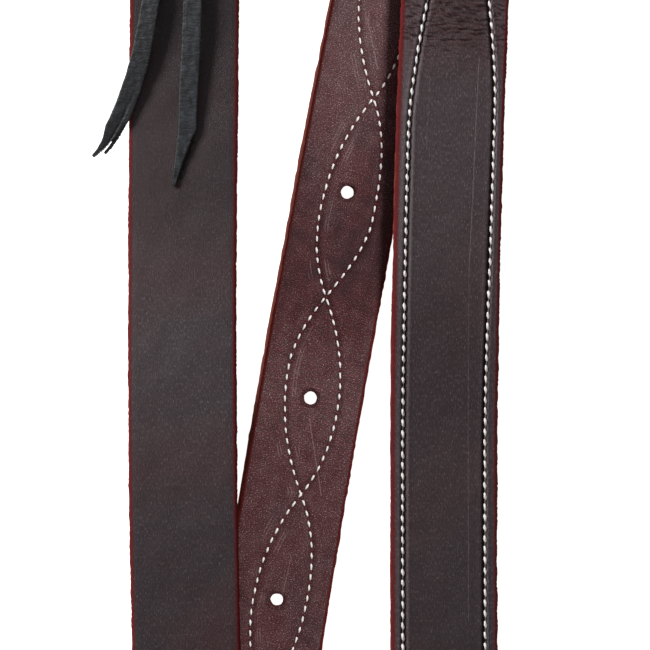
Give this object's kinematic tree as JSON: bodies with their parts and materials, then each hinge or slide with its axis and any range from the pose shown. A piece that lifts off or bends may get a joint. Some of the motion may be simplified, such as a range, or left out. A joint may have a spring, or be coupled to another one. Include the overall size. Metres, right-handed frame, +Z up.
{
  "type": "leather tack strap",
  "caption": "Wide oiled leather strap for riding tack, laid in three runs: laced loop end, lined run with figure-eight seams round tongue holes, doubled end with a roller buckle and keepers.",
  "frame": {"origin": "on the surface that the strap lies on, below the middle of the laid-out strap's outline without the free lace tails", "axes": "+Z up; +Y along the left run towards the laced loop; +X from the laced run to the buckle run"},
  "size_m": [0.1866, 0.6804, 0.028],
  "materials": {
    "strap_leather": "oiled, satin, fine grain, red dyed edges",
    "lining_leather": "burgundy, pebbled grain, light gloss",
    "lace_leather": "black, soft, fine cross wrinkles",
    "keeper_leather": "oiled, satin",
    "thread": "waxed twisted thread",
    "buckle_metal": "satin nickel steel",
    "roller_metal": "satin nickel steel"
  },
  "bodies": {
    "strap": {"strap_ply": "strap_leather", "lining_ply": "lining_leather", "figure_eight_needle_thread_1": "thread", "figure_eight_needle_thread_2": "thread", "figure_eight_bobbin_thread_1": "thread", "figure_eight_bobbin_thread_2": "thread", "edge_needle_thread_left": "thread", "edge_needle_thread_right": "thread", "edge_bobbin_thread_left": "thread", "edge_bobbin_thread_right": "thread", "chape_thread": "thread", "tie_lace_knot": "lace_leather", "tie_lace_tail_left": "lace_leather", "tie_lace_tail_right": "lace_leather", "fixed_keeper": "keeper_leather", "fixed_keeper_thread": "thread"},
    "buckle": {"buckle_frame": "buckle_metal"},
    "roller": {"buckle_roller": "roller_metal"},
    "tongue": {"buckle_tongue": "buckle_metal"},
    "sliding_keeper": {"sliding_keeper": "keeper_leather", "sliding_keeper_thread": "thread"}
  },
  "joints": [
    {"name": "buckle_hinge", "type": "hinge", "parent": "strap", "child": "buckle", "pos_m": [0.046, -0.3051, 0.0092], "axis": [-1, 0, 0], "range_deg": [0, 90]},
    {"name": "tongue_hinge", "type": "hinge", "parent": "buckle", "child": "tongue", "pos_m": [0.046, -0.3051, 0.0092], "axis": [-1, 0, 0], "range_deg": [0, 60]},
    {"name": "roller_spin", "type": "hinge", "parent": "buckle", "child": "roller", "pos_m": [0.046, -0.33465, 0.00405], "axis": [1, 0, 0], "continuous": true},
    {"name": "keeper_slide", "type": "slide", "parent": "strap", "child": "sliding_keeper", "axis": [0, 1, 0], "range_m": [-0.045, 0.035]}
  ]
}
